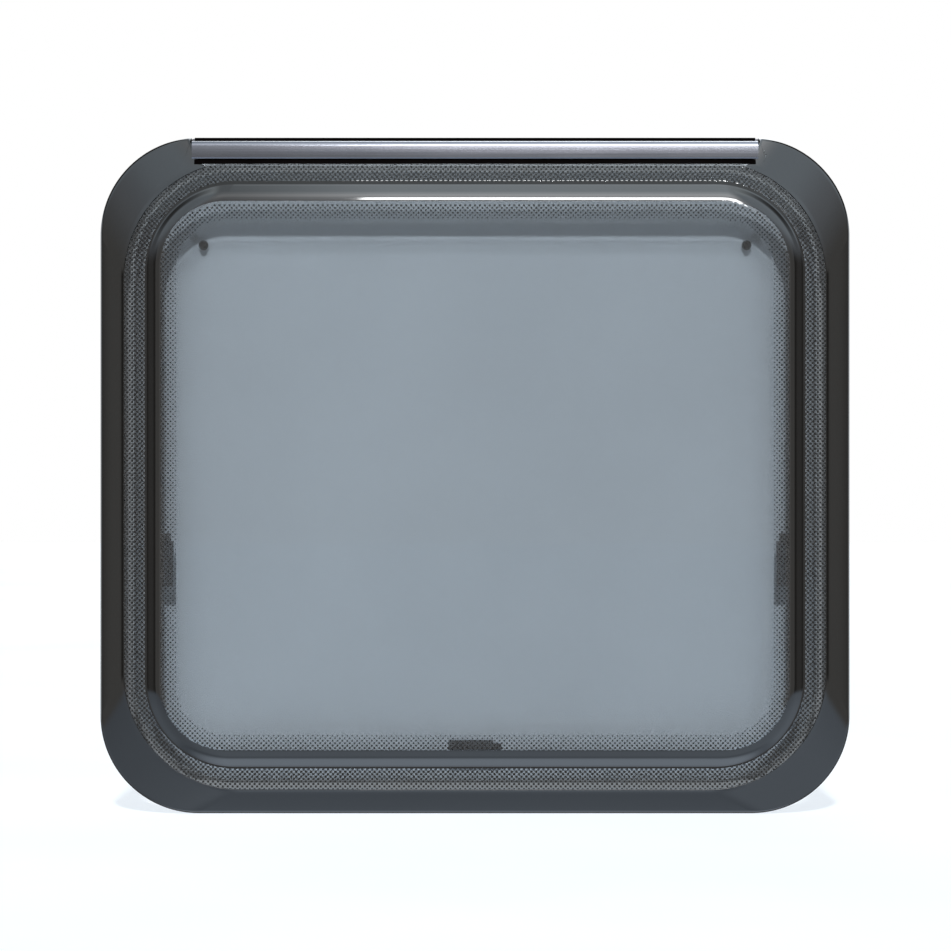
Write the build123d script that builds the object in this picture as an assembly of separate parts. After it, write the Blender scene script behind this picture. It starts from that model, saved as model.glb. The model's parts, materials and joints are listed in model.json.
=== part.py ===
from build123d import *
import os
from math import atan2, radians, sqrt, tan

# Caravan window, top hung, seen from outside along +Y. Millimetres, +Z up.
# The origin is the middle of the flat back face of the hinge rail.
# An inset is a distance inwards from the outline of the window.
# A depth is a Y value: outdoors is -Y, indoors is +Y.

# Outline of the window
PANE_WIDTH = 750.0
PANE_HEIGHT = 676.0
RIM_RADIUS = 98.0

# Form of the outer sheet, from its edge to its raised middle
OUTER_SHEET = 3.5
EDGE_HEIGHT = 4.0
RIM_FALL = 10.5
BAND_INSET = 24.0
BAND_RADIUS = 118.0
STEP_INSET = 46.0
STEP_RADIUS = 90.0
MIDDLE_INSET = 60.0
MIDDLE_RADIUS = 70.0
MIDDLE_RISE = 9.0
SHOULDER_ROUND = 5.0
BAND_ROUND = 12.0
STEP_ROUND = 6.0
MIDDLE_ROUND = 20.0

# Recess for the hinge in the top edge of the outer sheet
RECESS_DEPTH = 13.0
RECESS_INSET = 24.0
RECESS_LEAN = 1.0
RECESS_FLARE = 5.0
RECESS_CURL = 8
RECESS_END_LEAN = 4.0
RECESS_END_FLARE = 14.0
RECESS_END_CURL = 3
RECESS_CORNER = 4.0
RECESS_CORNER_FLARE = 7.0
LAND_TOP_INSET = 8.0
RECESS_END_GAP = 1.0
RECESS_OVERCUT = 0.6
RECESS_SECTIONS = 6

# Form of the inner sheet
INNER_SHEET = 2.7
BOND_GAP = 0.3
FLANGE_INSET = 35.0
FLANGE_RADIUS = 100.0
TRAY_INSET = 77.0
TRAY_RADIUS = 50.0
TRAY_LEAN = 9.0
TRAY_DEPTH = 21.5
TRAY_ROUND = 12.0

# Sealant bead along the edge of the inner sheet
BEAD_WIDTH = 3.0
BEAD_TOP_WIDTH = 1.2
BEAD_HEIGHT = 2.5
BEAD_GAP = 0.3

# Hinge rail, an extruded section with a hook slot open at the top
RAIL_END_INSET = 92.5
RAIL_HEIGHT = 17.5
RAIL_TOP_INSET = 3.5
RAIL_WALL = 1.8
RAIL_BACK_WALL = 2.0
RAIL_FRONT_DEPTH = 11.0
WEB_TOP_INSET = 1.0
WEB_THICKNESS = 2.4
SLOT_WIDTH = 6.0
SLOT_FLOOR_INSET = 11.0
SLOT_FLOOR = 1.6
LEDGE_GAP = 0.3

# Strips of black rubber above and below the rail
LINER_THICKNESS = 1.0
LINER_REACH = 5.0
LINER_SHORTENING = 2.0
SEAL_HEIGHT = 6.5
SEAL_GAP = 0.4
SEAL_ROUND = 1.2
SEAL_SHORTENING = 4.0

# Bases for the catches, on the room side of the inner sheet
CATCH_LENGTH = 53.0
CATCH_WIDTH = 12.0
CATCH_HEIGHT = 8.0
CATCH_INSET = 61.8
CATCH_DROP = 422.0
CATCH_NOTCH_LENGTH = 8.0
CATCH_NOTCH_WIDTH = 3.0
CATCH_HOLE_RADIUS = 1.7
CATCH_HOLE_SPACING = 32.0
CATCH_HOLE_DEPTH = 6.0
CATCH_EDGE = 1.0

# Plugs in the vent holes of the inner sheet
PLUG_INSET = 102.0
PLUG_DROP = 106.5
PLUG_HEAD_RADIUS = 5.0
PLUG_HEAD_HEIGHT = 1.6
PLUG_STEM_RADIUS = 3.0
PLUG_TIP_LENGTH = 3.0
PLUG_HOLE_GAP = 0.3

# Depths and heights that follow from the sizes above
WEB_MIDDLE_INSET = (WEB_TOP_INSET + LAND_TOP_INSET - LEDGE_GAP) / 2
TOP_Z = WEB_MIDDLE_INSET
MIDDLE_Z = TOP_Z - PANE_HEIGHT / 2
LAND_Y = -OUTER_SHEET
BAND_Y = LAND_Y - RECESS_DEPTH
RAISED_Y = BAND_Y - MIDDLE_RISE
SHOULDER_Y = BAND_Y + RIM_FALL
EDGE_Y = SHOULDER_Y + EDGE_HEIGHT
BAND_BACK_Y = BAND_Y + OUTER_SHEET
FLANGE_FRONT_Y = BAND_BACK_Y + BOND_GAP
FLANGE_BACK_Y = FLANGE_FRONT_Y + INNER_SHEET
TRAY_BACK_Y = FLANGE_BACK_Y + TRAY_DEPTH
RAIL_LENGTH = PANE_WIDTH - 2 * RAIL_END_INSET
RECESS_HALF_LENGTH = RAIL_LENGTH / 2 + RECESS_END_GAP


def outline_face(inset, radius, depth):
    """The outline of the window drawn in by an inset, as a face at a depth."""
    plane = Plane(origin=(0, depth, MIDDLE_Z), x_dir=(1, 0, 0), z_dir=(0, -1, 0))
    return plane * RectangleRounded(PANE_WIDTH - 2 * inset, PANE_HEIGHT - 2 * inset, radius)


def slab(inset, radius, back_depth, front_depth):
    """A flat plate inside the outline, between two depths."""
    return extrude(outline_face(inset, radius, back_depth), amount=back_depth - front_depth)


def slope(low, high):
    """A solid between two outlines, each given as inset, radius and depth."""
    return loft([outline_face(*low), outline_face(*high)], ruled=True)


def rim_of(solid, inset, depth):
    """The closed line of edges that runs round a solid at one inset and one depth."""
    half_width = PANE_WIDTH / 2 - inset
    half_height = PANE_HEIGHT / 2 - inset
    found = ShapeList()
    for edge in solid.edges():
        box = edge.bounding_box()
        level = abs(box.min.Y - depth) < 0.01 and abs(box.max.Y - depth) < 0.01
        across = max(abs(box.min.X), abs(box.max.X))
        upright = max(abs(box.min.Z - MIDDLE_Z), abs(box.max.Z - MIDDLE_Z))
        on_side = abs(across - half_width) < 0.01
        on_top = abs(upright - half_height) < 0.01
        if level and (on_side or on_top):
            found.append(edge)
    return found


def bend_shift(fall, run, thickness):
    """How far a bend moves sideways through the thickness of a sheet."""
    return thickness * tan(atan2(fall, run) / 2)


def outer_front():
    """All that lies behind the front surface of the outer sheet."""
    body = slab(0, RIM_RADIUS, EDGE_Y, SHOULDER_Y)
    body += slope((0, RIM_RADIUS, SHOULDER_Y), (BAND_INSET, BAND_RADIUS, BAND_Y))
    body += slope((STEP_INSET, STEP_RADIUS, BAND_Y), (MIDDLE_INSET, MIDDLE_RADIUS, RAISED_Y))
    body = fillet(rim_of(body, 0, SHOULDER_Y), SHOULDER_ROUND)
    body = fillet(rim_of(body, BAND_INSET, BAND_Y), BAND_ROUND)
    body = fillet(rim_of(body, STEP_INSET, BAND_Y), STEP_ROUND)
    return fillet(rim_of(body, MIDDLE_INSET, RAISED_Y), MIDDLE_ROUND)


def outer_back():
    """The hollow behind the outer sheet, one sheet thickness inside its front."""
    rim_angle = atan2(RIM_FALL, BAND_INSET)
    shoulder = SHOULDER_Y + OUTER_SHEET * tan((radians(90) - rim_angle) / 2)
    rim_shift = bend_shift(RIM_FALL, BAND_INSET, OUTER_SHEET)
    step_shift = bend_shift(MIDDLE_RISE, MIDDLE_INSET - STEP_INSET, OUTER_SHEET)
    band_inset = BAND_INSET + rim_shift
    step_inset = STEP_INSET + step_shift
    middle_inset = MIDDLE_INSET + step_shift
    raised_back = RAISED_Y + OUTER_SHEET
    body = slab(OUTER_SHEET, RIM_RADIUS - OUTER_SHEET, EDGE_Y, shoulder)
    body += slope((OUTER_SHEET, RIM_RADIUS - OUTER_SHEET, shoulder),
                  (band_inset, BAND_RADIUS - rim_shift, BAND_BACK_Y))
    body += slope((step_inset, STEP_RADIUS - step_shift, BAND_BACK_Y),
                  (middle_inset, MIDDLE_RADIUS - step_shift, raised_back))
    body = fillet(rim_of(body, band_inset, BAND_BACK_Y), BAND_ROUND - OUTER_SHEET)
    return fillet(rim_of(body, middle_inset, raised_back), MIDDLE_ROUND - OUTER_SHEET)


def flare(depth, lean, spread, curl, grow):
    """How far a recess wall stands out from its foot at a depth, plus a wall thickness."""
    climb = (LAND_Y - depth) / RECESS_DEPTH
    pitch = (lean + curl * spread * climb ** (curl - 1)) / RECESS_DEPTH
    return lean * climb + spread * climb**curl + grow * sqrt(1 + pitch**2)


def recess_face(depth, grow):
    """The hinge recess at a depth, open past the top edge, grown by a wall thickness."""
    lower = RECESS_INSET + flare(depth, RECESS_LEAN, RECESS_FLARE, RECESS_CURL, grow)
    half = RECESS_HALF_LENGTH + flare(depth, RECESS_END_LEAN, RECESS_END_FLARE, RECESS_END_CURL, grow)
    corner = RECESS_CORNER + flare(depth, 0, RECESS_CORNER_FLARE, RECESS_END_CURL, grow)
    plane = Plane(origin=(0, depth, TOP_Z), x_dir=(1, 0, 0), z_dir=(0, -1, 0))
    return plane * RectangleRounded(2 * half, 2 * lower, corner)


def recess(floor_depth, grow):
    """The flared space of the hinge recess, from its floor to in front of the band."""
    rise = floor_depth - BAND_Y + RECESS_OVERCUT
    steps = range(RECESS_SECTIONS + 1)
    return loft([recess_face(floor_depth - rise * step / RECESS_SECTIONS, grow) for step in steps])


def outer_pane():
    """The outer sheet with its raised middle, stepped border, rim and hinge recess."""
    trough = recess(LAND_Y, 0)
    wall = recess(0, OUTER_SHEET)
    front = outer_front()
    front += slab(0, RIM_RADIUS, 0, EDGE_Y) & wall
    front -= trough
    notch = Pos(0, LAND_Y / 2, TOP_Z) * Box(2 * RECESS_HALF_LENGTH, OUTER_SHEET, 2 * LAND_TOP_INSET)
    front -= notch
    back = outer_back() - wall
    return front - back


def inner_pane():
    """The inner sheet: a flat flange round a tray that stands into the room."""
    shift = bend_shift(TRAY_DEPTH, TRAY_LEAN, INNER_SHEET)
    floor_inset = TRAY_INSET + TRAY_LEAN
    floor_radius = TRAY_RADIUS - TRAY_LEAN
    tray_front = TRAY_BACK_Y - INNER_SHEET
    body = slab(FLANGE_INSET, FLANGE_RADIUS, FLANGE_BACK_Y, FLANGE_FRONT_Y)
    body += slope((TRAY_INSET, TRAY_RADIUS, FLANGE_BACK_Y), (floor_inset, floor_radius, TRAY_BACK_Y))
    body = fillet(rim_of(body, floor_inset, TRAY_BACK_Y), TRAY_ROUND)
    hollow = slope((TRAY_INSET + shift, TRAY_RADIUS - shift, FLANGE_FRONT_Y),
                   (floor_inset + shift, floor_radius - shift, tray_front))
    hollow = fillet(rim_of(hollow, floor_inset + shift, tray_front), TRAY_ROUND - INNER_SHEET)
    body -= hollow
    for side in (-1, 1):
        body -= plug_axis(side) * Cylinder(PLUG_STEM_RADIUS + PLUG_HOLE_GAP, 4 * INNER_SHEET)
    return body


def bond_bead():
    """The sealant bead on the back of the band, round the edge of the inner sheet."""
    inner = FLANGE_INSET - BEAD_GAP
    outer = inner - BEAD_WIDTH
    top = inner - BEAD_TOP_WIDTH
    radius = FLANGE_RADIUS + BEAD_GAP
    bead_back = BAND_BACK_Y + BEAD_HEIGHT
    body = slope((outer, radius + BEAD_WIDTH, BAND_BACK_Y), (top, radius + BEAD_TOP_WIDTH, bead_back))
    return body - slab(inner, radius, bead_back, BAND_BACK_Y)


def rail_run(section, length):
    """A section of inset and depth, drawn out along the top edge of the window."""
    plane = Plane(origin=(-length / 2, 0, TOP_Z), x_dir=(0, 0, -1), z_dir=(1, 0, 0))
    return extrude(plane * section, amount=length)


def half_round(radius):
    """A disc about the middle of the rail's rounded front."""
    middle = RAIL_TOP_INSET + RAIL_HEIGHT / 2
    return Pos(middle, LAND_Y - RAIL_FRONT_DEPTH + RAIL_HEIGHT / 2) * Circle(radius)


def block(inset, inset_end, depth, depth_end):
    """A rectangle between two insets and two depths."""
    width = inset_end - inset
    height = depth_end - depth
    return Pos(inset + width / 2, depth + height / 2) * Rectangle(width, height)


def hinge_rail():
    """The aluminium rail: rounded front, hook slot, hollow chamber and stepped back."""
    radius = RAIL_HEIGHT / 2
    foot = RAIL_TOP_INSET + RAIL_HEIGHT
    middle = RAIL_TOP_INSET + radius
    front_y = LAND_Y - RAIL_FRONT_DEPTH
    axis_y = front_y + radius
    ledge = LAND_TOP_INSET - LEDGE_GAP
    slot_back = -WEB_THICKNESS
    slot_front = slot_back - SLOT_WIDTH
    back_wall = LAND_Y - RAIL_BACK_WALL
    section = half_round(radius) & block(0, foot, front_y, LAND_Y)
    section += block(middle, foot, axis_y, LAND_Y)
    section += block(ledge - RAIL_BACK_WALL, foot, back_wall, LAND_Y)
    section += block(ledge - RAIL_BACK_WALL, ledge, back_wall, 0)
    section += block(WEB_TOP_INSET, ledge, slot_back, 0)
    bore = half_round(radius - RAIL_WALL) + block(middle, foot - RAIL_WALL, axis_y, back_wall)
    pocket = bore & block(0, SLOT_FLOOR_INSET, front_y, back_wall)
    mouth = block(0, ledge - RAIL_BACK_WALL, slot_front, slot_back)
    mouth += block(0, SLOT_FLOOR_INSET, slot_front, back_wall)
    chamber = bore & block(SLOT_FLOOR_INSET + SLOT_FLOOR, foot, front_y, back_wall)
    section -= pocket + mouth + chamber
    return rail_run(section, RAIL_LENGTH)


def hinge_liner():
    """The rubber liner on the upper edge of the rail's back web."""
    web_front = -WEB_THICKNESS
    section = block(WEB_TOP_INSET - LINER_THICKNESS, WEB_TOP_INSET, web_front - LINER_THICKNESS, 0)
    section += block(WEB_TOP_INSET, LINER_REACH, web_front - LINER_THICKNESS, web_front)
    return rail_run(section, RAIL_LENGTH - 2 * LINER_SHORTENING)


def hinge_seal():
    """The rubber strip that fills the foot of the recess below the rail."""
    foot = RAIL_TOP_INSET + RAIL_HEIGHT
    front = LAND_Y - SEAL_HEIGHT
    floor_side = RECESS_INSET - SEAL_GAP
    front_side = floor_side + flare(front, RECESS_LEAN, RECESS_FLARE, RECESS_CURL, 0)
    points = [(foot, LAND_Y), (floor_side, LAND_Y), (front_side, front), (foot, front)]
    section = make_face(Polyline(*points, close=True))
    section = fillet(section.vertices().group_by(Axis.Y)[0], SEAL_ROUND)
    return rail_run(section, RAIL_LENGTH - 2 * SEAL_SHORTENING)


def catch_base(turn, hand):
    """A catch base lying along the edge of the window, with one inner corner cut away."""
    body = Box(CATCH_LENGTH, CATCH_HEIGHT, CATCH_WIDTH)
    body = fillet(body.faces().sort_by(Axis.Y)[-1].edges(), CATCH_EDGE)
    notch = Pos(hand * CATCH_LENGTH / 2, 0, CATCH_WIDTH / 2)
    body -= notch * Box(2 * CATCH_NOTCH_LENGTH, 2 * CATCH_HEIGHT, 2 * CATCH_NOTCH_WIDTH)
    for side in (-1, 1):
        hole_y = (CATCH_HEIGHT - CATCH_HOLE_DEPTH) / 2
        hole = Pos(side * CATCH_HOLE_SPACING / 2, hole_y, 0) * Rot(90, 0, 0)
        body -= hole * Cylinder(CATCH_HOLE_RADIUS, CATCH_HOLE_DEPTH)
    return Rot(0, turn, 0) * body


def catch_bases():
    """The three catch bases at their places on the flange, by name."""
    inset = CATCH_INSET + CATCH_WIDTH / 2
    side_x = PANE_WIDTH / 2 - inset
    side_z = TOP_Z - CATCH_DROP
    foot_z = TOP_Z - PANE_HEIGHT + inset
    depth = FLANGE_BACK_Y + CATCH_HEIGHT / 2
    return {
        "catch_base_left": Pos(-side_x, depth, side_z) * catch_base(90, -1),
        "catch_base_right": Pos(side_x, depth, side_z) * catch_base(-90, 1),
        "catch_base_bottom": Pos(0, depth, foot_z) * catch_base(0, 1),
    }


def plug_axis(side):
    """The place of a vent hole on the floor of the tray, with its axis to the room."""
    floor = (side * (PANE_WIDTH / 2 - PLUG_INSET), TRAY_BACK_Y, TOP_Z - PLUG_DROP)
    return Location(Plane(origin=floor, x_dir=(1, 0, 0), z_dir=(0, 1, 0)))


def vent_plug(side):
    """A rubber plug: a bevelled head in the room and a plain stem."""
    stem = INNER_SHEET + PLUG_TIP_LENGTH
    points = [
        (0, -stem),
        (PLUG_STEM_RADIUS, -stem),
        (PLUG_STEM_RADIUS, 0),
        (PLUG_HEAD_RADIUS, 0),
        (PLUG_HEAD_RADIUS - PLUG_HEAD_HEIGHT / 2, PLUG_HEAD_HEIGHT),
        (0, PLUG_HEAD_HEIGHT),
    ]
    section = Plane.XZ * make_face(Polyline(*points, close=True))
    return plug_axis(side) * revolve(section, Axis.Z, 360)


def window_parts():
    """Every piece of the window, by name."""
    pieces = {
        "outer_pane": outer_pane(),
        "inner_pane": inner_pane(),
        "bond_bead": bond_bead(),
        "hinge_rail": hinge_rail(),
        "hinge_liner": hinge_liner(),
        "hinge_seal": hinge_seal(),
        "vent_plug_left": vent_plug(-1),
        "vent_plug_right": vent_plug(1),
    }
    pieces.update(catch_bases())
    return pieces


os.makedirs("parts", exist_ok=True)
for name, piece in window_parts().items():
    piece.label = name
    export_step(piece, os.path.join("parts", name + ".step"))
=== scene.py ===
import json
import math

import bpy
import numpy as np
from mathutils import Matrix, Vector

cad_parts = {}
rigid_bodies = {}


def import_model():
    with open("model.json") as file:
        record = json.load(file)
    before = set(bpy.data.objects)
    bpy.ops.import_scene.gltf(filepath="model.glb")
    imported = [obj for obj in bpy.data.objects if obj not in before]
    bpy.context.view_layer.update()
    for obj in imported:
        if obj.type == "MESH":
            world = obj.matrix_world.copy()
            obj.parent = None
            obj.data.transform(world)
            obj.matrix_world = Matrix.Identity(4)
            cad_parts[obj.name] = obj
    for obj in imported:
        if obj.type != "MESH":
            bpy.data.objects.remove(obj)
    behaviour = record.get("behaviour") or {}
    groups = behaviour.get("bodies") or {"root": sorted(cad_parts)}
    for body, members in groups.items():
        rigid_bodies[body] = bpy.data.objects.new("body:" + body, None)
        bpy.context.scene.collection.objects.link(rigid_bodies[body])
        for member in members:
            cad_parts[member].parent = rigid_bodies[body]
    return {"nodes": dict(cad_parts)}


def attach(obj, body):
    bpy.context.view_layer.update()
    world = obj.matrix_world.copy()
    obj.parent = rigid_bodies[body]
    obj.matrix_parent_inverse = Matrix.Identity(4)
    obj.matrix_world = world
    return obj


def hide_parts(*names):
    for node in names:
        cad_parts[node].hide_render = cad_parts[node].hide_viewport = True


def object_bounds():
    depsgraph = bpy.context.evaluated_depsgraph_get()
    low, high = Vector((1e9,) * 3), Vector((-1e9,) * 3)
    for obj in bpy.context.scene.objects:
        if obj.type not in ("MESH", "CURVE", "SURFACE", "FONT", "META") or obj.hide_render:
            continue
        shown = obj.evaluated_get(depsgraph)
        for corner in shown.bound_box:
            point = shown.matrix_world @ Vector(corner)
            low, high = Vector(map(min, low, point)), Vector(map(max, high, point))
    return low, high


# Looks of a top-hung caravan window. Metres, +Z up, seen from outside along +Y.
# An inset is a distance inwards from the outline of the window.
# A depth is a Y value: outdoors is -Y, indoors is +Y.

MM = 0.001
ROOT_TWO = math.sqrt(2)

# Outline of the window, in millimetres
PANE_WIDTH = 750.0
PANE_HEIGHT = 676.0
PANE_TOP = 4.35
PANE_MIDDLE = PANE_TOP - PANE_HEIGHT / 2

# Folds of the outer sheet's front, in millimetres: inset, corner radius, depth, rounding
FOLDS = [
    (0.0, 98.0, -2.0, 0.0),
    (0.0, 98.0, -6.0, 5.0),
    (24.0, 118.0, -16.5, 12.0),
    (46.0, 90.0, -16.5, 6.0),
    (60.0, 70.0, -25.5, 20.0),
    (80.0, 50.0, -25.5, 0.0),
]
BAND_DEPTH = -16.5
ROUND_STEPS = 10
CORNER_STEPS = 48

# Rings of the moulding and of its print, in millimetres: insets and corner radii
MOULD_RINGS = ([0.0, 24.0, 46.0, 60.0, 80.0, 110.0], [98.0, 118.0, 90.0, 70.0, 50.0, 20.0])
PRINT_RINGS = ([0.0, 24.0, 46.0, 62.0, 80.0, 110.0], [98.0, 117.0, 90.0, 65.0, 50.0, 20.0])
INSET_HALVINGS = 30

# Printed border, in millimetres. It lies just in front of the sheet.
# It stands out along the fold of the rim, and is level at the foot of the step, so both look sharp.
PRINT_LIFT = 0.15
RIM_PRINT_START, RIM_PRINT_END = 0.12, 25.4
RIM_ROW_GAP = 0.1
CREASE_INSETS = [20.9, 21.1, 21.7, 22.5, 23.4, 24.3, 24.8, 25.4]
CREASE_LIFTS = [0.0, 0.005, 0.036, 0.06, 0.225, 0.469, 0.64, 0.0]
STEP_FOOT_INSET, STEP_FOOT_RISE = 46.2, 0.006
STEP_FOLD_INSET, STEP_FOLD_LIFT = 48.0, 0.1
STEP_PRINT_START, STEP_PRINT_END = 49.6, 62.6
STEP_ROWS, STEP_FLAT_ROWS = 28, 2

# Print of the raised middle: less tall than the moulding, and lower.
# The top of the step takes a share of that.
PRINT_HEIGHT_SHARE = 1.01555
PRINT_DROP = 1.78
STEP_TOP_SHARE = 0.43

# Chequered dots of the print, in millimetres, with the sizes of the first and the last as shares
DOT_CELL = 2.44
DOT_LIFT = 0.05
DOT_COLUMNS, DOT_ROWS = 160, 145
RIM_DOTS = {"start": 24.6, "end": 46.8, "first": 0.81, "last": 0.97}
FADE_DOTS = {"start": 62.0, "end": 78.0, "first": 0.86, "last": 0.46}

# Hinge recess in the top edge, in millimetres
RECESS_HALF_LENGTH = 283.5
RECESS_INSET = 24.0
RECESS_LAND = -3.5
RECESS_DEPTH = 13.0
RECESS_TOP = 1.5
RECESS_CORNER = 4.0
RECESS_CORNER_FLARE = 7.0
RECESS_LEAN, RECESS_FLARE, RECESS_CURL = 1.0, 5.0, 8
RECESS_END_LEAN, RECESS_END_FLARE, RECESS_END_CURL = 4.0, 14.0, 3
RECESS_FLOOR_EDGE = 1.0
RECESS_ROWS, RECESS_END_POINTS = 12, 9
RECESS_CORNER_STEPS = CORNER_STEPS // 4
RECESS_HALVINGS = 40

# Hinge rail, in millimetres: insets from the top edge, depths, walls and roundings
RAIL_HALF_LENGTH = 282.5
RAIL_TOP, RAIL_FOOT = 4.0, 22.6
RAIL_FRONT, RAIL_BACK = -14.5, -3.5
RAIL_WALL, RAIL_BACK_WALL = 1.8, 2.0
RAIL_TOP_ROUND, RAIL_FOOT_ROUND = 5.2, 2.2
WEB_TOP, WEB_FOOT, WEB_THICKNESS = 1.0, 7.7, 2.4
SLOT_WIDTH, SLOT_FLOOR = 6.0, 11.0

# Rubber seal below the rail, in millimetres, whose lip lies on the flare of the recess
SEAL_HALF_LENGTH = 280.0
SEAL_BACK, SEAL_FRONT, SEAL_LIP = -3.8, -14.2, -15.7
SEAL_GAP = 0.25
STRIP_SHARP_ANGLE = math.radians(30)

# Smoke-tinted acrylic
TINT = (0.535, 0.58, 0.62)
TINT_SPREAD = 0.015
ACRYLIC_INDEX = 1.49
TRAY_INDEX = 1.06

# Dark and light tones of the other materials
INK_TONES = ((0.0024, 0.0023, 0.0022), (0.0040, 0.0038, 0.0036))
RAIL_TONES = ((0.090, 0.093, 0.105), (0.102, 0.105, 0.118))
RUBBER_TONES = ((0.0012, 0.0009, 0.0009), (0.0021, 0.0017, 0.0017))
PLASTIC_TONES = ((0.010, 0.010, 0.011), (0.018, 0.018, 0.019))
SEALANT_TONES = ((0.135, 0.143, 0.148), (0.170, 0.180, 0.185))
FLOOR_TONES = ((0.17, 0.18, 0.19), (0.19, 0.20, 0.21))
FLOOR_GLOW_TONES = ((0.84, 0.90, 0.96), (0.88, 0.94, 1.0))
FLOOR_GLOW = 0.85
CARD_TONES = ((0.447, 0.447, 0.447), (0.468, 0.468, 0.468))

# Noise: the coarse one's share of the fine one's scale, and the ranges that are spread out
COARSE_SHARE = 0.12
SPECK_RANGE = (0.35, 0.65)
CLOUD_RANGE = (0.3, 0.7)

# Floor, in metres
FLOOR_HALF = 12.0
FLOOR_GAP = 0.0005

# Card behind the window, in metres, and the painted shade that darkens its tone: stops of place and
# share.
# Places are shares of the half width for the sides, shares of the foot's reach for the foot
# and for a painted light strip along it, and metres from the left edge for the left.
CARD_HALF = 0.5
CARD_GAP = 0.003
CARD_FOOT_REACH = 0.2
# Painted shade: darker towards the sides
CARD_SIDES_PAINTED_SHADE = [
    (0.498, 1.0),
    (0.538, 0.98),
    (0.578, 0.90),
    (0.604, 0.80),
    (0.638, 0.66),
    (0.678, 0.5),
]
# Painted shade: darker in a band above the foot
CARD_FOOT_PAINTED_SHADE = [(0.18, 0.98), (0.29, 0.88), (0.365, 0.90), (0.43, 0.96), (0.51, 1.0)]
# Painted shade: a darker stripe near the left edge
CARD_LEFT_PAINTED_SHADE = [(0.148, 0.85), (0.159, 0.60), (0.166, 0.60), (0.176, 1.0)]
# Painted light: a strip along the foot that emits light where the print's shadow falls
CARD_PAINTED_LIGHT_STRIP = [(0.085, 0.0), (0.100, 0.26), (0.150, 0.26), (0.165, 0.0)]

# Studio that the gloss mirrors, by the direction of a mirrored ray: stops of place and brightness.
# A height runs from 0, straight down, to 1, straight up. Aside is how far it points to either side.
MIRROR_STRENGTH = 9.0
LIGHT_STRENGTH = 0.19
OPEN_HEIGHTS = [
    (0.0, (2.9, 3.3, 3.8)),
    (0.025, (2.7, 3.15, 3.7)),
    (0.10, (1.10, 1.30, 1.55)),
    (0.16, (1.45, 1.70, 2.00)),
    (0.30, (1.45, 1.70, 2.00)),
    (0.42, (1.20, 1.40, 1.65)),
    (0.66, (1.80, 2.00, 2.23)),
    (0.74, (2.30, 2.65, 2.95)),
    (0.90, (2.30, 2.65, 2.95)),
    (0.97, (3.06, 3.42, 3.60)),
]
OPEN_LEFT, OPEN_LEFT_SHARE = (-0.45, -0.15), 0.74
WALLS_ASIDE = [
    (0.15, (0.72, 0.72, 0.72)),
    (0.30, (1.15, 1.14, 1.12)),
    (0.50, (1.15, 1.14, 1.12)),
    (0.60, (0.80, 0.79, 0.76)),
    (0.825, (0.80, 0.79, 0.76)),
    (0.853, (0.12, 0.11, 0.10)),
    (0.93, (0.22, 0.21, 0.20)),
    (0.955, (0.42, 0.41, 0.40)),
    (0.99, (2.20, 2.30, 2.40)),
]
WALL_REACH = [(0.395, 0), (0.425, 1), (0.56, 1), (0.72, 0)]
BEHIND_HEIGHTS = [
    (0.40, (0.3, 0.3, 0.3)),
    (0.50, (2.2, 2.3, 2.4)),
    (0.57, (2.2, 2.3, 2.4)),
    (0.64, (0.2, 0.2, 0.2)),
]
BEHIND_REACH = [(0.0, 0), (0.1, 1)]
DARK_CORNER = (0.014, 0.014, 0.013, 1.0)
DARK_CORNER_BACKWARD = (-0.25, -0.1)
DARK_CORNER_REACH = [(0.60, 0), (0.68, 1)]
OVERHEAD_HEIGHTS = [
    (0.553, (0.72, 0.72, 0.72)),
    (0.60, (3.0, 3.1, 3.2)),
    (0.72, (4.2, 4.4, 4.6)),
    (0.82, (6.6, 6.8, 7.0)),
    (0.854, (6.6, 6.9, 7.2)),
    (0.924, (4.8, 5.2, 5.5)),
    (0.973, (3.4, 3.8, 4.1)),
    (0.993, (2.6, 2.9, 3.2)),
]
OVERHEAD_REACH = [(0.552, 0), (0.556, 1)]
OVERHEAD_LEFT, OVERHEAD_LEFT_SHARE = (-0.098, -0.036), 0.42
MIDDLE_ASIDE = [(0.16, 1), (0.30, 0)]
PALE_BAND = (0.156, 0.169, 0.177, 1.0)
DIM_BAND = (0.085, 0.092, 0.096, 1.0)
BAND_REACH = (0.5412, 0.5434)

# Main light, and a strip light that only gloss shows
KEY_ENERGY, KEY_ANGLE = 5.5, math.radians(3.5)
KEY_PLACE = (0, -0.80, 0.62)
STRIP_WIDTH, STRIP_HEIGHT, STRIP_ENERGY = 0.72, 0.36, 26.0
STRIP_PLACE, STRIP_TARGET = (0.18, -1.387, 0.509), (0.18, -0.02, -0.057)

# Camera of the photograph. A pixel is a millimetre at one depth.
PHOTO_SIDE = 951
PIXEL_DEPTH = 6.0
CAMERA_DISTANCE = 3.0
CAMERA_ASIDE = 0.0005
CAMERA_SENSOR = 36.0


def clear_start_scene():
    """Takes away the objects of the start-up scene."""
    for thing in list(bpy.data.objects):
        bpy.data.objects.remove(thing, do_unlink=True)


clear_start_scene()
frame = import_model()
cad_low, cad_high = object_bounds()


# Node helpers


def add(tree, kind, inputs=None, **settings):
    """A node in a tree. An input that is a socket is linked, any other value is set."""
    made = tree.nodes.new(kind)
    for name, value in settings.items():
        setattr(made, name, value)
    for name, value in (inputs or {}).items():
        if isinstance(value, bpy.types.NodeSocket):
            tree.links.new(value, made.inputs[name])
        else:
            made.inputs[name].default_value = value
    return made


def new_group(name, inputs, outputs):
    """An empty shader node group with float inputs and outputs, and its two end nodes."""
    group = bpy.data.node_groups.new(name, "ShaderNodeTree")
    for label, value in inputs.items():
        socket = group.interface.new_socket(label, in_out="INPUT", socket_type="NodeSocketFloat")
        socket.default_value = value
    for label in outputs:
        group.interface.new_socket(label, in_out="OUTPUT", socket_type="NodeSocketFloat")
    return group, group.nodes.new("NodeGroupInput"), group.nodes.new("NodeGroupOutput")


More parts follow.
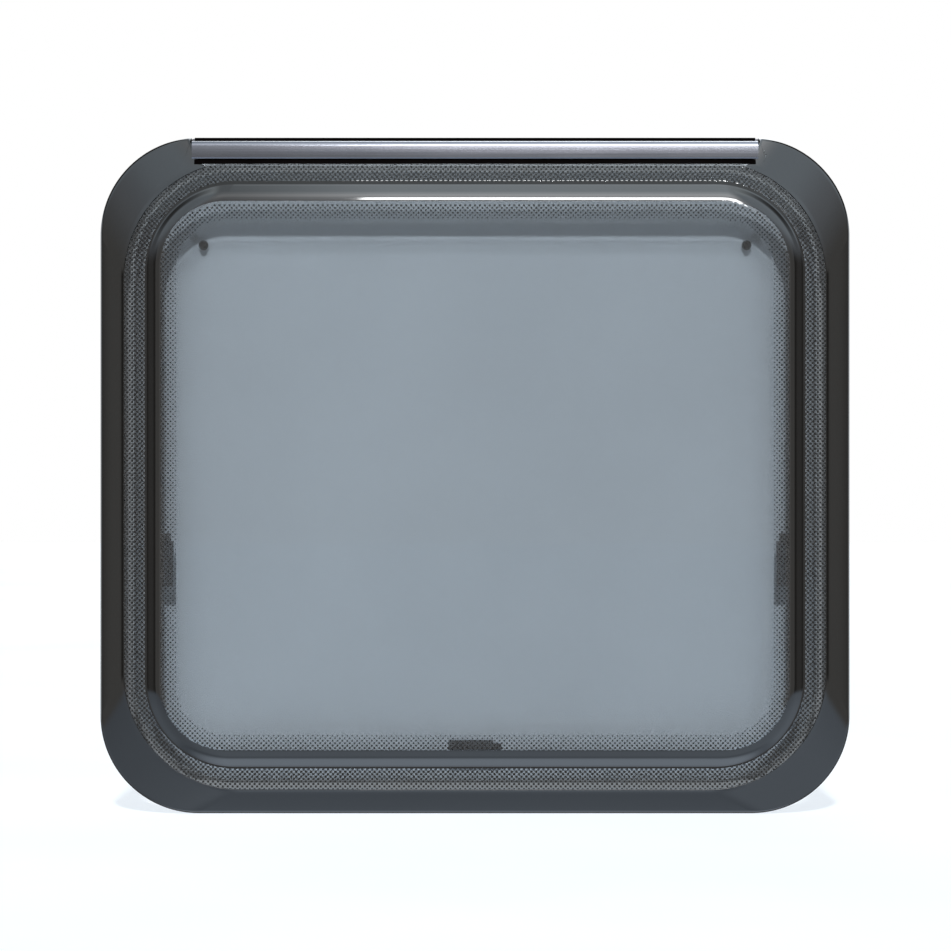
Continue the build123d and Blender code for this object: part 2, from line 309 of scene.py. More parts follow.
def place_group(tree, group, inputs):
    """A group placed in a material with its own values."""
    made = add(tree, "ShaderNodeGroup", node_tree=group)
    for name, value in inputs.items():
        made.inputs[name].default_value = value
    return made


def new_material(name):
    """A material with a Principled shader on its output."""
    material = bpy.data.materials.new(name)
    material.use_nodes = True
    tree = material.node_tree
    tree.nodes.clear()
    shader = add(tree, "ShaderNodeBsdfPrincipled")
    add(tree, "ShaderNodeOutputMaterial", {"Surface": shader.outputs[0]})
    return material, tree, shader


def mapped(tree, value, low, high, to_low=0.0, to_high=1.0):
    """A value moved from one range to another, and kept inside it."""
    limits = {"From Min": low, "From Max": high, "To Min": to_low, "To Max": to_high}
    return add(tree, "ShaderNodeMapRange", {"Value": value, **limits}).outputs[0]


def times(tree, one, other):
    """The product of two values, or the mask where two masks meet."""
    return add(tree, "ShaderNodeMath", {0: one, 1: other}, operation="MULTIPLY").outputs[0]


def noise(tree, place, scale, detail=2.0):
    """The value of a noise texture."""
    inputs = {"Vector": place, "Scale": scale, "Detail": detail}
    return add(tree, "ShaderNodeTexNoise", inputs).outputs[0]


def ramp(tree, value, stops):
    """A colour that changes with a value, through stops of place and colour."""
    node = add(tree, "ShaderNodeValToRGB", {"Fac": value})
    node.color_ramp.interpolation = "EASE"
    while len(node.color_ramp.elements) < len(stops):
        node.color_ramp.elements.new(0.5)
    for element, (place, colour) in zip(node.color_ramp.elements, stops):
        element.position = place
        element.color = (*colour, 1.0)
    return node.outputs["Color"]


def greys(stops):
    """Stops of place and colour, from stops of place and value."""
    return [(place, (value, value, value)) for place, value in stops]


def blended(tree, factor, low, high):
    """One colour where a factor is nought, another where it is one."""
    mix = add(tree, "ShaderNodeMix", data_type="RGBA")
    for name, value in (("Factor", factor), ("A", low), ("B", high)):
        if isinstance(value, bpy.types.NodeSocket):
            tree.links.new(value, mix.inputs[name])
        else:
            mix.inputs[name].default_value = value
    return mix.outputs["Result"]


def scaled(tree, colour, factor):
    """A colour multiplied by another, or by a value."""
    mix = add(tree, "ShaderNodeMix", {"Factor": 1.0}, data_type="RGBA", blend_type="MULTIPLY")
    tree.links.new(colour, mix.inputs["A"])
    tree.links.new(factor, mix.inputs["B"])
    return mix.outputs["Result"]


def tone(tree, mask, dark, light):
    """A colour between two tones, by a mask."""
    return blended(tree, mask, (*dark, 1.0), (*light, 1.0))


def bump(tree, height, strength, distance):
    """A bump normal from a height."""
    inputs = {"Height": height, "Strength": strength, "Distance": distance}
    return add(tree, "ShaderNodeBump", inputs).outputs[0]


def link_all(tree, shader, inputs):
    """Links values to the named inputs of a shader."""
    for name, value in inputs.items():
        tree.links.new(value, shader.inputs[name])


def set_all(shader, inputs):
    """Sets the named inputs of a shader."""
    for name, value in inputs.items():
        shader.inputs[name].default_value = value


# Effects that several materials share


def grain_group():
    """Fine pits and specks of a moulded or printed face: a height and a mask."""
    inputs = {"Scale": 900.0, "Contrast": 1.0}
    group, into, out = new_group("moulded_grain", inputs, ["Height", "Mask"])
    place = add(group, "ShaderNodeTexCoord").outputs["Object"]
    fine = noise(group, place, into.outputs["Scale"], 3.0)
    coarse = noise(group, place, times(group, into.outputs["Scale"], COARSE_SHARE))
    height = times(group, times(group, fine, coarse), into.outputs["Contrast"])
    group.links.new(height, out.inputs["Height"])
    group.links.new(mapped(group, fine, *SPECK_RANGE), out.inputs["Mask"])
    return group


def cloud_group():
    """Slow, soft variation over a face, between a low and a high value."""
    inputs = {"Scale": 6.0, "Low": 0.0, "High": 1.0}
    group, into, out = new_group("soft_clouds", inputs, ["Value"])
    place = add(group, "ShaderNodeTexCoord").outputs["Object"]
    cloud = noise(group, place, into.outputs["Scale"], 4.0)
    value = mapped(group, cloud, *CLOUD_RANGE, into.outputs["Low"], into.outputs["High"])
    group.links.new(value, out.inputs["Value"])
    return group


def drawn_line_group():
    """Long fine lines along X, as drawing through a die leaves them: a height and a mask."""
    inputs = {"Scale": 700.0, "Stretch": 0.004}
    group, into, out = new_group("drawn_lines", inputs, ["Height", "Mask"])
    place = add(group, "ShaderNodeTexCoord").outputs["Object"]
    sizes = {"X": into.outputs["Stretch"], "Y": 1.0, "Z": 1.0}
    stretch = add(group, "ShaderNodeCombineXYZ", sizes).outputs[0]
    long = add(group, "ShaderNodeVectorMath", {0: place, 1: stretch}, operation="MULTIPLY")
    lines = noise(group, long.outputs[0], into.outputs["Scale"], 3.0)
    group.links.new(lines, out.inputs["Height"])
    group.links.new(mapped(group, lines, *CLOUD_RANGE), out.inputs["Mask"])
    return group


GRAIN = grain_group()
CLOUDS = cloud_group()
DRAWN_LINES = drawn_line_group()


# Materials


def smoke_acrylic(name):
    """Smoke-tinted acrylic sheet with faint clouds in its tint and gloss, and its shader."""
    material, tree, shader = new_material(name)
    clouds = place_group(tree, CLOUDS, {"Scale": 5.0, "Low": 0.0, "High": 1.0}).outputs["Value"]
    light = tuple(value * (1 + TINT_SPREAD) for value in TINT)
    dark = tuple(value * (1 - TINT_SPREAD) for value in TINT)
    looks = {
        "Base Color": tone(tree, clouds, dark, light),
        "Roughness": mapped(tree, clouds, 0.0, 1.0, 0.0, 0.008),
    }
    link_all(tree, shader, looks)
    set_all(shader, {"Transmission Weight": 1.0, "IOR": ACRYLIC_INDEX})
    return material, shader


def tray_acrylic():
    """The same acrylic drawn thin over the tray, which bends light little and keeps its gloss."""
    material, shader = smoke_acrylic("tray_acrylic")
    set_all(shader, {"IOR": TRAY_INDEX, "Coat Weight": 1.0, "Coat Roughness": 0.03})
    return material


def glossy_print():
    """Black screen print under the gloss of the acrylic, with a slightly uneven coat."""
    material, tree, shader = new_material("glossy_print")
    grain = place_group(tree, GRAIN, {"Scale": 700.0})
    clouds = place_group(tree, CLOUDS, {"Scale": 9.0}).outputs["Value"]
    looks = {
        "Base Color": tone(tree, grain.outputs["Mask"], *INK_TONES),
        "Roughness": mapped(tree, clouds, 0.0, 1.0, 0.03, 0.06),
    }
    link_all(tree, shader, looks)
    set_all(shader, {"IOR": ACRYLIC_INDEX})
    return material


def grey_rail():
    """Grey anodised aluminium section with lines from the die along its length."""
    material, tree, shader = new_material("grey_rail")
    lines = place_group(tree, DRAWN_LINES, {"Scale": 900.0})
    clouds = place_group(tree, CLOUDS, {"Scale": 14.0}).outputs["Value"]
    looks = {
        "Base Color": tone(tree, clouds, *RAIL_TONES),
        "Roughness": mapped(tree, lines.outputs["Mask"], 0.0, 1.0, 0.16, 0.22),
        "Normal": bump(tree, lines.outputs["Height"], strength=0.1, distance=0.00005),
    }
    link_all(tree, shader, looks)
    set_all(shader, {"Metallic": 1.0})
    return material


def black_rubber():
    """Black rubber strip with lines along its length and dusty patches."""
    material, tree, shader = new_material("black_rubber")
    lines = place_group(tree, DRAWN_LINES, {"Scale": 500.0, "Stretch": 0.01})
    clouds = place_group(tree, CLOUDS, {"Scale": 30.0}).outputs["Value"]
    looks = {
        "Base Color": tone(tree, clouds, *RUBBER_TONES),
        "Roughness": mapped(tree, clouds, 0.0, 1.0, 0.6, 0.8),
        "Normal": bump(tree, lines.outputs["Height"], strength=0.3, distance=0.0001),
    }
    link_all(tree, shader, looks)
    set_all(shader, {"Specular IOR Level": 0.0})
    return material


def moulded_black():
    """Black moulded plastic with a fine spark-eroded grain."""
    material, tree, shader = new_material("moulded_black")
    grain = place_group(tree, GRAIN, {"Scale": 1100.0})
    looks = {
        "Base Color": tone(tree, grain.outputs["Mask"], *PLASTIC_TONES),
        "Roughness": mapped(tree, grain.outputs["Mask"], 0.0, 1.0, 0.45, 0.65),
        "Normal": bump(tree, grain.outputs["Height"], strength=0.4, distance=0.0002),
    }
    link_all(tree, shader, looks)
    return material


def sealant():
    """Smoky sealant bead, a little wavy, as a gun lays it."""
    material, tree, shader = new_material("sealant")
    clouds = place_group(tree, CLOUDS, {"Scale": 40.0}).outputs["Value"]
    grain = place_group(tree, GRAIN, {"Scale": 300.0})
    looks = {
        "Base Color": tone(tree, clouds, *SEALANT_TONES),
        "Roughness": mapped(tree, clouds, 0.0, 1.0, 0.3, 0.45),
        "Normal": bump(tree, grain.outputs["Height"], strength=0.3, distance=0.0005),
    }
    link_all(tree, shader, looks)
    return material


def pale_floor():
    """Plain pale studio floor, lit from below, so that shadows on it stay faint."""
    material, tree, shader = new_material("pale_floor")
    clouds = place_group(tree, CLOUDS, {"Scale": 1.5}).outputs["Value"]
    looks = {
        "Base Color": tone(tree, clouds, *FLOOR_TONES),
        "Emission Color": tone(tree, clouds, *FLOOR_GLOW_TONES),
    }
    link_all(tree, shader, looks)
    set_all(shader, {"Emission Strength": FLOOR_GLOW, "Roughness": 0.9, "Specular IOR Level": 0.1})
    return material


def card_painted_shade_and_light():
    """Pale card behind the window, with painted shade towards its sides, above its foot and near
    its left edge, and a painted light strip along its foot that emits light where the print's
    shadow falls.
    """
    material, tree, shader = new_material("card_painted_shade_and_light")
    clouds = place_group(tree, CLOUDS, {"Scale": 3.0}).outputs["Value"]
    place = add(tree, "ShaderNodeTexCoord").outputs["Object"]
    parts = add(tree, "ShaderNodeSeparateXYZ", {0: place}).outputs
    aside = add(tree, "ShaderNodeMath", {0: parts["X"]}, operation="ABSOLUTE").outputs[0]
    across = mapped(tree, aside, 0.0, CARD_HALF)
    upward = mapped(tree, parts["Z"], cad_low.z, cad_low.z + CARD_FOOT_REACH)
    from_left = add(tree, "ShaderNodeMath", {0: parts["X"], 1: CARD_HALF}, operation="ADD")
    rightward = from_left.outputs[0]
    shade = tone(tree, clouds, *CARD_TONES)
    # Painted shade: the tone darkens towards the sides, above the foot and near the left edge
    for value, stops in ((across, CARD_SIDES_PAINTED_SHADE), (upward, CARD_FOOT_PAINTED_SHADE), (rightward, CARD_LEFT_PAINTED_SHADE)):
        shade = scaled(tree, shade, ramp(tree, value, greys(stops)))
    # Painted light: an emitting strip along the foot lifts the print's shadow there
    painted_light_strip = ramp(tree, upward, greys(CARD_PAINTED_LIGHT_STRIP))
    link_all(tree, shader, {"Base Color": shade, "Emission Color": painted_light_strip})
    set_all(shader, {"Emission Strength": 1.0, "Roughness": 1.0, "Specular IOR Level": 0.0})
    return material


# Printed border of the outer sheet


def rounded_section(places):
    """The section of the front with rounded folds, from where each fold is across the border."""
    spots = [np.array([place, fold[2]]) for place, fold in zip(places, FOLDS)]
    line = []
    for before, spot, after, fold in zip(spots, spots[1:], spots[2:], FOLDS[1:]):
        back = (before - spot) / np.linalg.norm(before - spot)
        onward = (after - spot) / np.linalg.norm(after - spot)
        turn = math.pi - math.acos(float(back @ onward))
        reach = fold[3] * math.tan(turn / 2)
        ends = np.array([spot + back * reach, spot, spot + onward * reach])
        for part in np.linspace(0, 1, ROUND_STEPS + 1):
            middle = 2 * part * (1 - part) * math.cos(turn / 2)
            shares = np.array([(1 - part) ** 2, middle, part**2])
            line.append(shares @ ends / shares.sum())
    return np.array(line)


def on_diagonal(inset, radius):
    """How far a ring is from the sharp corner of the outline, along the diagonal."""
    return ROOT_TWO * inset + (ROOT_TWO - 1) * radius


SIDE_SECTION = rounded_section([fold[0] for fold in FOLDS])
DIAGONAL_SECTION = rounded_section([on_diagonal(fold[0], fold[1]) for fold in FOLDS])


def inset_of(across, height, rings):
    """The inset of places in the plane of the window, on rings with their own corner radii."""
    low = np.zeros_like(across)
    high = np.full_like(across, rings[0][-1])
    for _ in range(INSET_HALVINGS):
        inset = (low + high) / 2
        radius = np.interp(inset, *rings)
        over_x = np.abs(across) - (PANE_WIDTH / 2 - inset - radius)
        over_z = np.abs(height) - (PANE_HEIGHT / 2 - inset - radius)
        corner = np.hypot(np.maximum(over_x, 0), np.maximum(over_z, 0))
        outside = corner + np.minimum(np.maximum(over_x, over_z), 0) > radius
        high = np.where(outside, inset, high)
        low = np.where(outside, low, inset)
    return (low + high) / 2


def front_depth(across, height):
    """The depth of the front at places in the plane of the window."""
    inset = inset_of(across, height, MOULD_RINGS)
    radius = np.interp(inset, *MOULD_RINGS)
    over_x = np.maximum(np.abs(across) - (PANE_WIDTH / 2 - inset - radius), 0)
    over_z = np.maximum(np.abs(height) - (PANE_HEIGHT / 2 - inset - radius), 0)
    share = np.maximum((over_x + over_z) / radius - 1, 0) / (ROOT_TWO - 1)
    side = np.interp(inset, SIDE_SECTION[:, 0], SIDE_SECTION[:, 1])
    diagonal = np.interp(on_diagonal(inset, radius), DIAGONAL_SECTION[:, 0], DIAGONAL_SECTION[:, 1])
    return side + (diagonal - side) * share


def flare(depth, lean, spread_out, curl, wall):
    """How far a recess wall stands out from its foot at a depth, plus a wall thickness."""
    climb = (RECESS_LAND - depth) / RECESS_DEPTH
    pitch = (lean + curl * spread_out * climb ** (curl - 1)) / RECESS_DEPTH
    return lean * climb + spread_out * climb**curl + wall * np.sqrt(1 + pitch**2)


def recess_end(depth, wall):
    """Half the length of the recess at a depth, with a wall thickness."""
    outward = flare(depth, RECESS_END_LEAN, RECESS_END_FLARE, RECESS_END_CURL, wall)
    return RECESS_HALF_LENGTH + outward


def recess_foot(depth, wall):
    """The inset of the recess's lower wall at a depth, with a wall thickness."""
    return RECESS_INSET + flare(depth, RECESS_LEAN, RECESS_FLARE, RECESS_CURL, wall)


def recess_corner(depth, wall):
    """The corner radius of the recess at a depth, with a wall thickness."""
    return RECESS_CORNER + flare(depth, 0.0, RECESS_CORNER_FLARE, RECESS_END_CURL, wall)


def in_recess(across, height, depth):
    """Whether places of the front are inside the mouth of the hinge recess."""
    corner = recess_corner(depth, 0)
    over_x = np.abs(across) - recess_end(depth, 0) + corner
    over_z = PANE_HEIGHT / 2 - height - recess_foot(depth, 0) + corner
    return np.hypot(np.maximum(over_x, 0), np.maximum(over_z, 0)) < corner


def along_quarter(travel, inset, radius):
    """Places of a ring at distances from the middle of its top, to the end of its right corner."""
    straight = PANE_WIDTH / 2 - inset - radius
    angle = math.pi / 2 - np.maximum(travel - straight, 0) / radius
    across = np.minimum(travel, straight) + radius * np.cos(angle)
    height = PANE_HEIGHT / 2 - inset - radius + radius * np.sin(angle)
    return np.stack([across, height], axis=1)


def recess_exit(inset, radius):
    """How far along a ring it comes out of the hinge recess."""
    low, high = 0.0, PANE_WIDTH / 2
    for _ in range(RECESS_HALVINGS):
        middle = (low + high) / 2
        spot = along_quarter(np.array([middle]), inset, radius)
        across, height = spot[:, 0], spot[:, 1]
        if in_recess(across, height, front_depth(across, height))[0]:
            low = middle
        else:
            high = middle
    return high


def ring_line(inset, radius, start):
    """Places round the window on a ring, from a distance along its top round to the same again."""
    straight = PANE_WIDTH / 2 - inset - radius
    corner_end = straight + radius * math.pi / 2
    opened = np.array([start, *np.linspace(max(start, straight), corner_end, CORNER_STEPS + 1)])
    whole = np.linspace(corner_end, straight, CORNER_STEPS + 1)
    top = along_quarter(opened, inset, radius)
    foot = along_quarter(whole, inset, radius)
    right = np.concatenate([top, foot * (1, -1)])
    return np.concatenate([right, right[::-1] * (-1, 1)])


def on_front(places):
    """Points in metres on the front, from places in the plane of the window."""
    depth = front_depth(places[:, 0], places[:, 1])
    return in_metres(np.column_stack([places, depth]))


def in_metres(flat):
    """Points in metres from rows of millimetres across, height from the middle, and depth."""
    return np.stack([flat[:, 0], flat[:, 2] - PRINT_LIFT, flat[:, 1] + PANE_MIDDLE], axis=1) * MM


def mesh_piece(name, points, faces):
    """A smooth mesh object."""
    mesh = bpy.data.meshes.new(name)
    mesh.from_pydata(points, [], faces)
    mesh.shade_smooth()
    mesh.update()
    piece = bpy.data.objects.new(name, mesh)
    bpy.context.collection.objects.link(piece)
    return piece


def sheet_from_lines(name, lines, flat_rows=0):
    """A mesh sheet through lines of equally many points, its first rows with sharp folds."""
    count = len(lines[0])
    points = [tuple(spot) for line in lines for spot in line]
    faces = []
    for row in range(len(lines) - 1):
        for column in range(count - 1):
            first = row * count + column
            faces.append((first, first + count, first + count + 1, first + 1))
    piece = mesh_piece(name, points, faces)
    for face in piece.data.polygons[: flat_rows * (count - 1)]:
        face.use_smooth = False
    return piece


def rim_print():
    """Solid print on the rim, open at the hinge recess."""
    insets = [RIM_PRINT_START]
    for inset in sorted([*SIDE_SECTION[:, 0], *CREASE_INSETS]):
        if insets[-1] + RIM_ROW_GAP < inset < RIM_PRINT_END - RIM_ROW_GAP:
            insets.append(inset)
    insets.append(RIM_PRINT_END)
    lines = []
    for inset in insets:
        radius = np.interp(inset, *MOULD_RINGS)
        line = on_front(ring_line(inset, radius, recess_exit(inset, radius)))
        line[:, 1] -= np.interp(inset, CREASE_INSETS, CREASE_LIFTS) * MM
        lines.append(line)
    return sheet_from_lines("rim_print", lines)


def print_ring(inset):
    """Places round the window on a whole ring of the print."""
    return ring_line(inset, np.interp(inset, *PRINT_RINGS), 0.0)


def step_print():
    """Solid print on the step, from its level foot to where the raised middle's print starts."""
    fold = on_front(print_ring(STEP_FOLD_INSET))
    fold[:, 1] -= STEP_FOLD_LIFT * MM
    places = print_ring(STEP_FOOT_INSET)
    places[:, 1] += np.maximum(places[:, 1], 0) * STEP_FOOT_RISE
    foot = on_front(places)
    foot[:, 1] = fold[:, 1]
    lines = [foot, fold]
    for inset in np.linspace(STEP_PRINT_START, STEP_PRINT_END, STEP_ROWS):
        places = print_ring(inset)
        share = (inset - STEP_PRINT_START) / (STEP_PRINT_END - STEP_PRINT_START)
        shift = (places[:, 1] - PRINT_DROP) / PRINT_HEIGHT_SHARE - places[:, 1]
        places[:, 1] += np.where(shift < 0, shift * STEP_TOP_SHARE, shift) * share
        lines.append(on_front(places))
    return sheet_from_lines("step_print", lines, flat_rows=STEP_FLAT_ROWS)


def recess_plan(depth, wall):
    """The U-shaped line of the recess wall, right to left: across, and height from the middle."""
    half = recess_end(depth, wall)
    foot = recess_foot(depth, wall)
    radius = recess_corner(depth, wall)
    turn = np.linspace(0, math.pi / 2, RECESS_CORNER_STEPS + 1)[1:]
    rise = np.concatenate([np.linspace(0, 1, RECESS_END_POINTS), np.ones(RECESS_CORNER_STEPS)])
    angle = np.concatenate([np.zeros(RECESS_END_POINTS), turn])
    rise = np.concatenate([rise, rise[::-1]])
    angle = np.concatenate([angle, angle[::-1]])
    side = np.repeat([1, -1], len(angle) // 2)
    across = side * (half - radius + radius * np.cos(angle))
    inset = RECESS_TOP + (foot - radius - RECESS_TOP) * rise + radius * np.sin(angle)
    return across, PANE_HEIGHT / 2 - inset


def recess_lip():
    """The depth at which each place of the recess wall meets the front."""
    lip = np.full(len(recess_plan(BAND_DEPTH, 0)[0]), BAND_DEPTH)
    for _ in range(RECESS_HALVINGS):
        lip = (lip + front_depth(*recess_plan(lip, 0))) / 2
    return lip


def recess_print():
    """Solid print on the walls of the hinge recess, and on the edge of its floor."""
    lip = recess_lip()
    lines = []
    for share in np.linspace(1, 0, RECESS_ROWS):
        depth = RECESS_LAND + (lip - RECESS_LAND) * share
        across, height = recess_plan(depth, 0 if share == 1 else -PRINT_LIFT)
        lines.append(in_metres(np.stack([across, height, depth], axis=1)))
    floor = np.full_like(lip, RECESS_LAND)
    across, height = recess_plan(floor, -RECESS_FLOOR_EDGE)
    lines.append(in_metres(np.stack([across, height, floor], axis=1)))
    return sheet_from_lines("recess_print", lines)


def dots(name, print_height, start, end, first, last):
    """Chequered dots between two insets of the print, with the sizes of the first and the last."""
    columns = np.arange(-DOT_COLUMNS, DOT_COLUMNS + 1)
    rows = np.arange(-DOT_ROWS, DOT_ROWS + 1)
    across, height = np.meshgrid(columns * DOT_CELL, rows * DOT_CELL)
    odd = (columns[None, :] + rows[:, None]) % 2 == 0
    across, height = across[odd], height[odd]
    inset = inset_of(across, print_height(height), PRINT_RINGS)
    kept = (inset > start) & (inset < end)
    kept &= ~in_recess(across, height - DOT_CELL / 2, np.full_like(across, BAND_DEPTH))
    across, height, inset = across[kept], height[kept], inset[kept]
    half = DOT_CELL / 2 * (first + (last - first) * (inset - start) / (end - start))
    turns = np.array([(-1, -1), (1, -1), (1, 1), (-1, 1)])
    places = np.stack([across, height], axis=1)[:, None, :] + half[:, None, None] * turns
    points = on_front(places.reshape(-1, 2)) - (0, DOT_LIFT * MM, 0)
    faces = np.arange(4 * len(across)).reshape(-1, 4)
    return mesh_piece(name, points.tolist(), faces.tolist())


def moulded_height(height):
    """Heights of the print that follows the moulding."""
    return height


def middle_print_height(height):
    """Heights of the raised middle's print, from heights on the moulding."""
    return height * PRINT_HEIGHT_SHARE + PRINT_DROP


def printed_border():
    """All the pieces of the printed border."""
    return [
        rim_print(),
        recess_print(),
        step_print(),
        dots("rim_dots", moulded_height, **RIM_DOTS),
        dots("fade_dots", middle_print_height, **FADE_DOTS),
    ]


# Hinge rail and its seal


def rounded_corner(inset, depth, radius, start):
    """A quarter round of a section, by its middle, its radius and the angle where it starts."""
    angles = np.linspace(start, start + math.pi / 2, ROUND_STEPS + 1)
    return [(inset + radius * math.cos(turn), depth + radius * math.sin(turn)) for turn in angles]


def rail_section():
    """The rail's section: flat front with rounded edges, slot open at the top, step at the back."""
    foot_inset, foot_depth = RAIL_FOOT - RAIL_FOOT_ROUND, RAIL_FRONT + RAIL_FOOT_ROUND
    top_inset, top_depth = RAIL_TOP + RAIL_TOP_ROUND, RAIL_FRONT + RAIL_TOP_ROUND
    slot_front = -WEB_THICKNESS - SLOT_WIDTH
    slot_back = RAIL_BACK - RAIL_BACK_WALL
    hook = WEB_FOOT - RAIL_BACK_WALL
    line = [(WEB_TOP, -WEB_THICKNESS), (WEB_TOP, 0), (WEB_FOOT, 0)]
    line += [(WEB_FOOT, RAIL_BACK), (RAIL_FOOT, RAIL_BACK)]
    line += rounded_corner(foot_inset, foot_depth, RAIL_FOOT_ROUND, -math.pi / 2)[::-1]
    line += rounded_corner(top_inset, top_depth, RAIL_TOP_ROUND, -math.pi)[::-1]
    line += [(RAIL_TOP, slot_front), (RAIL_TOP + RAIL_WALL, slot_front)]
    line += rounded_corner(top_inset, top_depth, RAIL_TOP_ROUND - RAIL_WALL, -math.pi)
    line += [(SLOT_FLOOR, RAIL_FRONT + RAIL_WALL), (SLOT_FLOOR, slot_back)]
    line += [(hook, slot_back), (hook, -WEB_THICKNESS)]
    return line


def seal_section():
    """The seal's section: from the rail's foot to the wall of the recess, a lip on its flare."""
    depths = np.linspace(SEAL_BACK, SEAL_LIP, ROUND_STEPS)
    wall = [(recess_foot(depth, -SEAL_GAP), depth) for depth in depths]
    return [(RAIL_FOOT + SEAL_GAP, SEAL_FRONT), (RAIL_FOOT + SEAL_GAP, SEAL_BACK), *wall]


def strip_from_section(name, section, half_length):
    """A closed strip along the top edge, from its section of insets and depths."""
    count = len(section)
    points = []
    for end in (-half_length, half_length):
        points += [(end * MM, depth * MM, (PANE_TOP - inset) * MM) for inset, depth in section]
    faces = [tuple(range(count)), tuple(range(2 * count - 1, count - 1, -1))]
    for first in range(count):
        after = (first + 1) % count
        faces.append((first, first + count, after + count, after))
    piece = mesh_piece(name, points, faces)
    piece.data.set_sharp_from_angle(angle=STRIP_SHARP_ANGLE)
    return piece


# Stage: floor, card, lamps, world and camera


def plane_piece(name, corners, material):
    """A flat four-cornered piece of the stage."""
    mesh = bpy.data.meshes.new(name)
    mesh.from_pydata(corners, [], [(0, 1, 2, 3)])
    mesh.update()
    piece = bpy.data.objects.new(name, mesh)
    bpy.context.collection.objects.link(piece)
    mesh.materials.append(material)
    return piece


def studio_floor():
    """A wide pale floor under the window."""
    foot = cad_low.z - FLOOR_GAP
    signs = [(-1, -1), (1, -1), (1, 1), (-1, 1)]
    corners = [(x * FLOOR_HALF, y * FLOOR_HALF, foot) for x, y in signs]
    floor = plane_piece("studio_floor", corners, pale_floor())
    floor.visible_glossy = False


def backing_card():
    """A pale card close behind the window that only shows through its sheets, with painted shade
    and a painted light strip in its tone.
    """
    depth = cad_high.y + CARD_GAP
    low, high = cad_low.z, cad_high.z
    ends = [(-CARD_HALF, low), (CARD_HALF, low), (CARD_HALF, high), (-CARD_HALF, high)]
    card = plane_piece("backing_card", [(x, depth, z) for x, z in ends], card_painted_shade_and_light())
    card.visible_camera = False
    card.visible_diffuse = False
    card.visible_glossy = False
    card.visible_shadow = False


def radiance(stops):
    """Stops of place and brightness as shares of the mirrored studio's strength."""
    return [(place, tuple(value / MIRROR_STRENGTH for value in colour)) for place, colour in stops]


def mirrored_studio(tree):
    """The studio that the gloss mirrors: pale above and below, dark walls, soft light overhead."""
    toward = add(tree, "ShaderNodeTexCoord").outputs["Generated"]
    parts = add(tree, "ShaderNodeSeparateXYZ", {0: toward}).outputs
    height = mapped(tree, parts["Z"], -1.0, 1.0)
    aside = add(tree, "ShaderNodeMath", {0: parts["X"]}, operation="ABSOLUTE").outputs[0]
    open_share = mapped(tree, parts["X"], *OPEN_LEFT, OPEN_LEFT_SHARE)
    open_part = scaled(tree, ramp(tree, height, radiance(OPEN_HEIGHTS)), open_share)
    wall_part = ramp(tree, aside, radiance(WALLS_ASIDE))
    around = blended(tree, ramp(tree, height, greys(WALL_REACH)), open_part, wall_part)
    behind = ramp(tree, parts["Y"], greys(BEHIND_REACH))
    around = blended(tree, behind, around, ramp(tree, height, radiance(BEHIND_HEIGHTS)))
    backward = mapped(tree, parts["Y"], *DARK_CORNER_BACKWARD)
    above = ramp(tree, height, greys(DARK_CORNER_REACH))
    around = blended(tree, times(tree, backward, above), around, DARK_CORNER)
    over_share = mapped(tree, parts["X"], *OVERHEAD_LEFT, OVERHEAD_LEFT_SHARE)
    over_part = scaled(tree, ramp(tree, height, radiance(OVERHEAD_HEIGHTS)), over_share)
    band_part = blended(tree, over_share, DIM_BAND, PALE_BAND)
    near_middle = ramp(tree, aside, greys(MIDDLE_ASIDE))
    in_band = times(tree, near_middle, mapped(tree, height, *BAND_REACH))
    overhead = times(tree, near_middle, ramp(tree, height, greys(OVERHEAD_REACH)))
    return blended(tree, overhead, blended(tree, in_band, around, band_part), over_part)


def studio_world():
    """White where it is seen, dimmer as light, and a studio of zones where it is mirrored."""
    world = bpy.data.worlds.new("studio")
    world.use_nodes = True
    tree = world.node_tree
    tree.nodes.clear()

    def background(colour, strength):
        return add(tree, "ShaderNodeBackground", {"Color": colour, "Strength": strength}).outputs[0]

    def mixed(factor, first, second):
        inputs = {0: factor.outputs[0], 1: first, 2: second}
        return add(tree, "ShaderNodeMixShader", inputs).outputs[0]

    mirrored = background(mirrored_studio(tree), MIRROR_STRENGTH)
    seen = background((1, 1, 1, 1), 1.0)
    light = background((1, 1, 1, 1), LIGHT_STRENGTH)
    path = add(tree, "ShaderNodeLightPath").outputs
    through = path["Is Transmission Ray"]
    looks = {0: path["Is Camera Ray"], 1: through}
    is_seen = add(tree, "ShaderNodeMath", looks, operation="MAXIMUM")
    gloss = {0: path["Is Glossy Ray"], 1: through}
    is_mirrored = add(tree, "ShaderNodeMath", gloss, operation="SUBTRACT", use_clamp=True)
    surface = mixed(is_mirrored, mixed(is_seen, light, seen), mirrored)
    add(tree, "ShaderNodeOutputWorld", {"Surface": surface})
    bpy.context.scene.world = world


def aimed(thing, place, target):
    """Puts a lamp or camera at a place, looking at a target."""
    thing.location = place
    thing.rotation_euler = (Vector(target) - Vector(place)).to_track_quat("-Z", "Y").to_euler()


def key_lamp():
    """The main light, from in front and above, which throws the print's shadow on the card."""
    lamp = bpy.data.lights.new("key_lamp", "SUN")
    lamp.energy = KEY_ENERGY
    lamp.angle = KEY_ANGLE
    thing = bpy.data.objects.new("key_lamp", lamp)
    bpy.context.collection.objects.link(thing)
    aimed(thing, KEY_PLACE, (0, 0, 0))
    thing.visible_glossy = False
    thing.visible_transmission = False


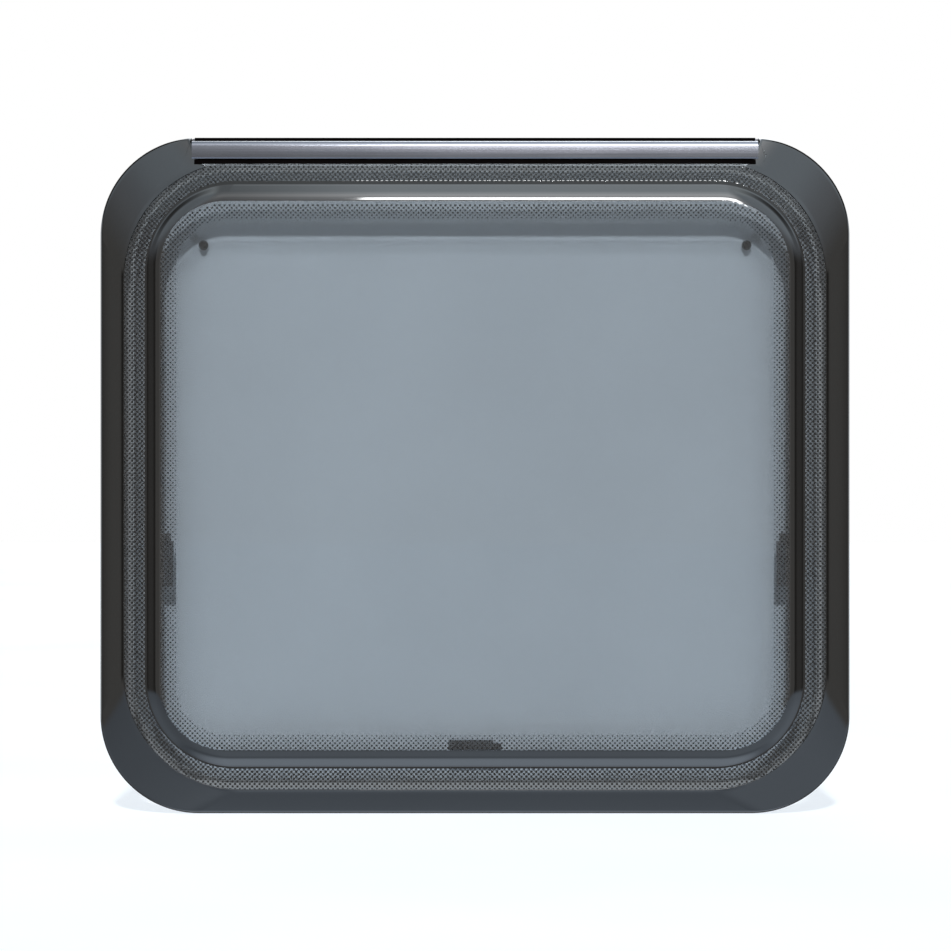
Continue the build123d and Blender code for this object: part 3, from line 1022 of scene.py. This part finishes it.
def strip_lamp():
    """A strip light above and in front, seen only as a highlight on the step and the rail."""
    lamp = bpy.data.lights.new("strip_lamp", "AREA")
    lamp.shape = "RECTANGLE"
    lamp.size = STRIP_WIDTH
    lamp.size_y = STRIP_HEIGHT
    lamp.energy = STRIP_ENERGY
    thing = bpy.data.objects.new("strip_lamp", lamp)
    bpy.context.collection.objects.link(thing)
    aimed(thing, STRIP_PLACE, STRIP_TARGET)
    thing.visible_camera = False
    thing.visible_diffuse = False
    thing.visible_transmission = False


def photo_camera():
    """The photograph's camera: square on to the window, level with its middle."""
    camera = bpy.data.cameras.new("photo_camera")
    camera.sensor_width = CAMERA_SENSOR
    reach = CAMERA_DISTANCE - PIXEL_DEPTH * MM
    camera.lens = CAMERA_SENSOR * reach / (PHOTO_SIDE * MM)
    thing = bpy.data.objects.new("photo_camera", camera)
    bpy.context.collection.objects.link(thing)
    middle = PANE_MIDDLE * MM
    aimed(thing, (CAMERA_ASIDE, -CAMERA_DISTANCE, middle), (CAMERA_ASIDE, 0, middle))
    bpy.context.scene.camera = thing


# Dressing


def dress(materials):
    """Gives each node of the window its material."""
    for name, node in frame["nodes"].items():
        node.data.materials.clear()
        node.data.materials.append(materials[name])


def dress_window():
    """Materials on the window's nodes, and the printed border on the outer sheet."""
    rail = grey_rail()
    rubber = black_rubber()
    plastic = moulded_black()
    dress(
        {
            "outer_pane": smoke_acrylic("smoke_acrylic")[0],
            "inner_pane": tray_acrylic(),
            "bond_bead": sealant(),
            "hinge_rail": rail,
            "hinge_liner": rubber,
            "hinge_seal": rubber,
            "catch_base_left": plastic,
            "catch_base_right": plastic,
            "catch_base_bottom": plastic,
            "vent_plug_left": rubber,
            "vent_plug_right": rubber,
        }
    )
    front = strip_from_section("rail_front", rail_section(), RAIL_HALF_LENGTH)
    lip = strip_from_section("seal_lip", seal_section(), SEAL_HALF_LENGTH)
    strips = [
        (front, "hinge_rail", "rail_aluminium", rail),
        (lip, "hinge_seal", "black_rubber", rubber),
    ]
    for piece, node, slot, material in strips:
        piece.data.materials.append(material)
        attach(piece, "root")
        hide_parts(node)
    for name in ("outer_pane", "inner_pane"):
        frame["nodes"][name].visible_shadow = False
        frame["nodes"][name].visible_diffuse = False
    ink = glossy_print()
    for piece in printed_border():
        piece.data.materials.append(ink)
        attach(piece, "root")


dress_window()
studio_floor()
backing_card()
studio_world()
key_lamp()
strip_lamp()
photo_camera()
bpy.context.scene.view_settings.view_transform = "Standard"
